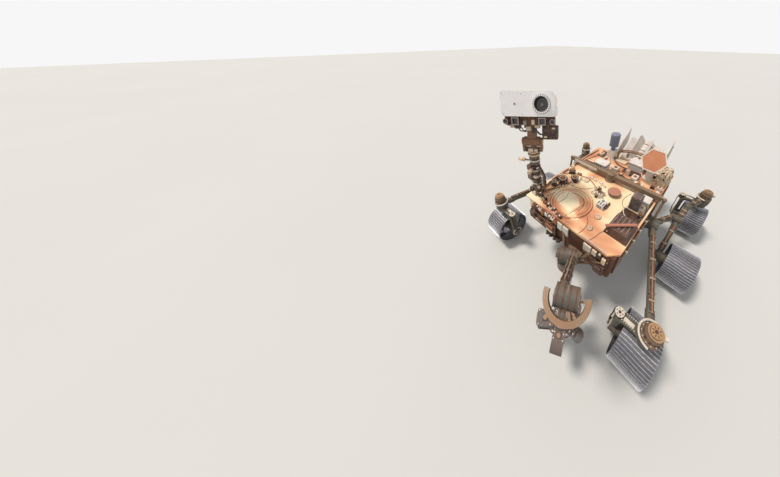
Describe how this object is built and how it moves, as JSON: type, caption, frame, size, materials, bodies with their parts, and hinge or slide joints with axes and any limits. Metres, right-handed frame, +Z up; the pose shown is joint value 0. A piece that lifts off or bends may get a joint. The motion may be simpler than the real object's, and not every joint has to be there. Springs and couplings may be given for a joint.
{
  "type": "planetary rover",
  "caption": "Wheeled planetary rover with rocker suspension, steered corner wheels, a camera mast, a jointed tool arm, antennas and a finned power source.",
  "frame": {"origin": "on the ground, under the middle of the vehicle's footprint", "axes": "+Z up, -Y is the front, +X is the vehicle's left side; at rest the wheels point ahead"},
  "size_m": [2.7, 3.221, 2.2574],
  "materials": {
    "antenna_grey": "grey-blue cover",
    "arm_metal": "dusty blue-grey metal",
    "body_paint": "dusty dark panels",
    "dark_metal": "black anodised",
    "deck_paint": "white paint under orange dust",
    "dish_face": "dusty tan face",
    "drive_paint": "dusty beige paint",
    "fin_paint": "matt white fins",
    "leg_paint": "dusty grey paint",
    "wheel_metal": "dusty worn machined skin",
    "white_paint": "matt white paint"
  },
  "bodies": {
    "rover": {"steering_actuators": "drive_paint", "rocker_left": "leg_paint", "rocker_right": "leg_paint", "bogie_left": "leg_paint", "bogie_right": "leg_paint", "body_box": "body_paint", "belly_pan": "body_paint", "top_deck": "deck_paint", "side_panels": "body_paint", "rocker_bosses": "drive_paint", "front_panel": "body_paint", "differential_bar": "leg_paint", "differential_links": "leg_paint", "mast": "arm_metal", "antenna_pedestal": "white_paint", "helix_antenna": "antenna_grey", "dish_post": "white_paint", "power_source": "fin_paint", "rear_panel": "body_paint", "heat_exchangers": "fin_paint", "white_case": "white_paint", "calibration_block": "white_paint", "rear_case": "white_paint", "side_case": "white_paint", "ribbed_case": "dark_metal", "dark_cover": "dark_metal", "deck_disc": "drive_paint", "sample_inlets": "dark_metal", "pump_assembly": "white_paint", "arm_bracket": "drive_paint", "front_hazard_cameras": "dark_metal"},
    "wheel_front_left": {"wheel_front_left": "wheel_metal"},
    "wheel_front_right": {"wheel_front_right": "wheel_metal"},
    "wheel_middle_left": {"wheel_middle_left": "wheel_metal"},
    "wheel_middle_right": {"wheel_middle_right": "wheel_metal"},
    "wheel_rear_left": {"wheel_rear_left": "wheel_metal"},
    "wheel_rear_right": {"wheel_rear_right": "wheel_metal"},
    "strut_front_left": {"strut_front_left": "leg_paint"},
    "strut_front_right": {"strut_front_right": "leg_paint"},
    "strut_rear_left": {"strut_rear_left": "leg_paint"},
    "strut_rear_right": {"strut_rear_right": "leg_paint"},
    "mast_yoke": {"mast_yoke": "dark_metal"},
    "mast_head": {"head_neck": "arm_metal", "camera_bar": "dark_metal", "head_box": "white_paint", "head_electronics": "dark_metal"},
    "dish_yoke": {"dish_yoke": "white_paint"},
    "dish_panel": {"dish_panel": "dish_face"},
    "arm_shoulder": {"arm_shoulder": "arm_metal"},
    "upper_arm": {"upper_arm": "arm_metal"},
    "forearm": {"forearm": "arm_metal"},
    "wrist": {"wrist": "arm_metal"},
    "turret": {"turret_hub": "arm_metal", "sample_tool": "arm_metal", "hand_camera": "arm_metal", "drill": "arm_metal", "brush_tool": "arm_metal", "spectrometer": "arm_metal"}
  },
  "joints": [
    {"name": "steer_front_left", "type": "hinge", "parent": "rover", "child": "strut_front_left", "pos_m": [1.1, -0.98289, 0.662], "axis": [0, 0, 1], "range_deg": [-90, 90]},
    {"name": "steer_front_right", "type": "hinge", "parent": "rover", "child": "strut_front_right", "pos_m": [-1.1, -0.98289, 0.662], "axis": [0, 0, 1], "range_deg": [-90, 90]},
    {"name": "steer_rear_left", "type": "hinge", "parent": "rover", "child": "strut_rear_left", "pos_m": [1.1, 1.13711, 0.662], "axis": [0, 0, 1], "range_deg": [-90, 90]},
    {"name": "steer_rear_right", "type": "hinge", "parent": "rover", "child": "strut_rear_right", "pos_m": [-1.1, 1.13711, 0.662], "axis": [0, 0, 1], "range_deg": [-90, 90]},
    {"name": "spin_front_left", "type": "hinge", "parent": "strut_front_left", "child": "wheel_front_left", "pos_m": [1.1, -0.98289, 0.263], "axis": [1, 0, 0], "continuous": true},
    {"name": "spin_front_right", "type": "hinge", "parent": "strut_front_right", "child": "wheel_front_right", "pos_m": [-1.1, -0.98289, 0.263], "axis": [1, 0, 0], "continuous": true},
    {"name": "spin_middle_left", "type": "hinge", "parent": "rover", "child": "wheel_middle_left", "pos_m": [1.185, 0.11711, 0.263], "axis": [1, 0, 0], "continuous": true},
    {"name": "spin_middle_right", "type": "hinge", "parent": "rover", "child": "wheel_middle_right", "pos_m": [-1.185, 0.11711, 0.263], "axis": [1, 0, 0], "continuous": true},
    {"name": "spin_rear_left", "type": "hinge", "parent": "strut_rear_left", "child": "wheel_rear_left", "pos_m": [1.1, 1.13711, 0.263], "axis": [1, 0, 0], "continuous": true},
    {"name": "spin_rear_right", "type": "hinge", "parent": "strut_rear_right", "child": "wheel_rear_right", "pos_m": [-1.1, 1.13711, 0.263], "axis": [1, 0, 0], "continuous": true},
    {"name": "mast_pan", "type": "hinge", "parent": "rover", "child": "mast_yoke", "pos_m": [-0.56, -0.68689, 1.64], "axis": [0, 0, 1], "range_deg": [-220, 140]},
    {"name": "mast_tilt", "type": "hinge", "parent": "mast_yoke", "child": "mast_head", "pos_m": [-0.56, -0.68689, 1.796], "axis": [0.766, 0.6428, 0], "range_deg": [-71, 107]},
    {"name": "dish_pan", "type": "hinge", "parent": "rover", "child": "dish_yoke", "pos_m": [0.37, 0.51711, 1.22], "axis": [0, 0, 1], "range_deg": [-170, 170]},
    {"name": "dish_tilt", "type": "hinge", "parent": "dish_yoke", "child": "dish_panel", "pos_m": [0.37, 0.51711, 1.33], "axis": [-1, 0, 0], "range_deg": [-35, 55]},
    {"name": "arm_turn", "type": "hinge", "parent": "rover", "child": "arm_shoulder", "pos_m": [0.2, -1.01289, 0.819], "axis": [0, 0, 1], "range_deg": [-118, 17]},
    {"name": "arm_lift", "type": "hinge", "parent": "arm_shoulder", "child": "upper_arm", "pos_m": [0.26622, -0.97768, 0.925], "axis": [-0.8829, -0.4695, 0], "range_deg": [-29, 46]},
    {"name": "arm_elbow", "type": "hinge", "parent": "upper_arm", "child": "forearm", "pos_m": [0.5615, -1.37327, 1.4129], "axis": [-0.8829, -0.4695, 0], "range_deg": [-15, 145]},
    {"name": "arm_wrist", "type": "hinge", "parent": "forearm", "child": "wrist", "pos_m": [0.47894, -1.37775, 0.74882], "axis": [0.8829, 0.4695, 0], "range_deg": [-80, 50]},
    {"name": "turret_turn", "type": "hinge", "parent": "wrist", "child": "turret", "pos_m": [0.47894, -1.37775, 0.67282], "axis": [0, 0, 1], "range_deg": [-175, 175]}
  ]
}
